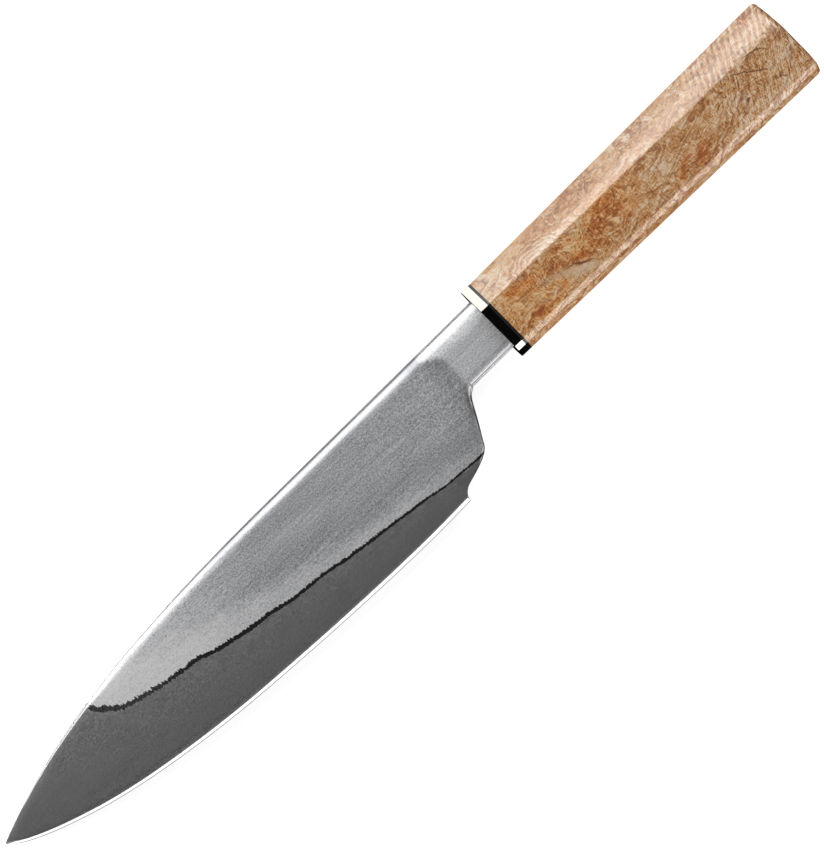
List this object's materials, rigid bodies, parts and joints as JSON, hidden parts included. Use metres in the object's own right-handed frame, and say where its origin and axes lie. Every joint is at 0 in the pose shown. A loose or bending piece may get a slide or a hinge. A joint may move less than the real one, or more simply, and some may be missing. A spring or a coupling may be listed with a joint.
{
  "type": "chef knife",
  "caption": "Chef's knife with a five-layer laminated blade, a sloping heel, a metal-plate ferrule and an eight-sided burl wood handle on a hidden tang.",
  "frame": {"origin": "under the middle of the knife's bounding box, on the plane its handle flat rests on", "axes": "+X from the tip to the butt, +Y from the edge to the spine, +Z out of the left flank, square to the handle's side flats"},
  "size_m": [0.3378, 0.0474, 0.021],
  "materials": {
    "core_steel": "fine satin ground",
    "dark_layer": "dark etched",
    "cladding": "lightly etched, brushed along the blade",
    "ferrule": "polished",
    "spacer": "black fibre, flush sanded",
    "handle_wood": "glossy stabilised burl",
    "bedding": "cast resin"
  },
  "bodies": {
    "root": {"core_steel": "core_steel", "left_dark_layer": "dark_layer", "right_dark_layer": "dark_layer", "left_cladding": "cladding", "right_cladding": "cladding", "ferrule": "ferrule", "ferrule_spacer": "spacer", "handle_block": "handle_wood", "tang_bedding": "bedding"}
  },
  "joints": []
}
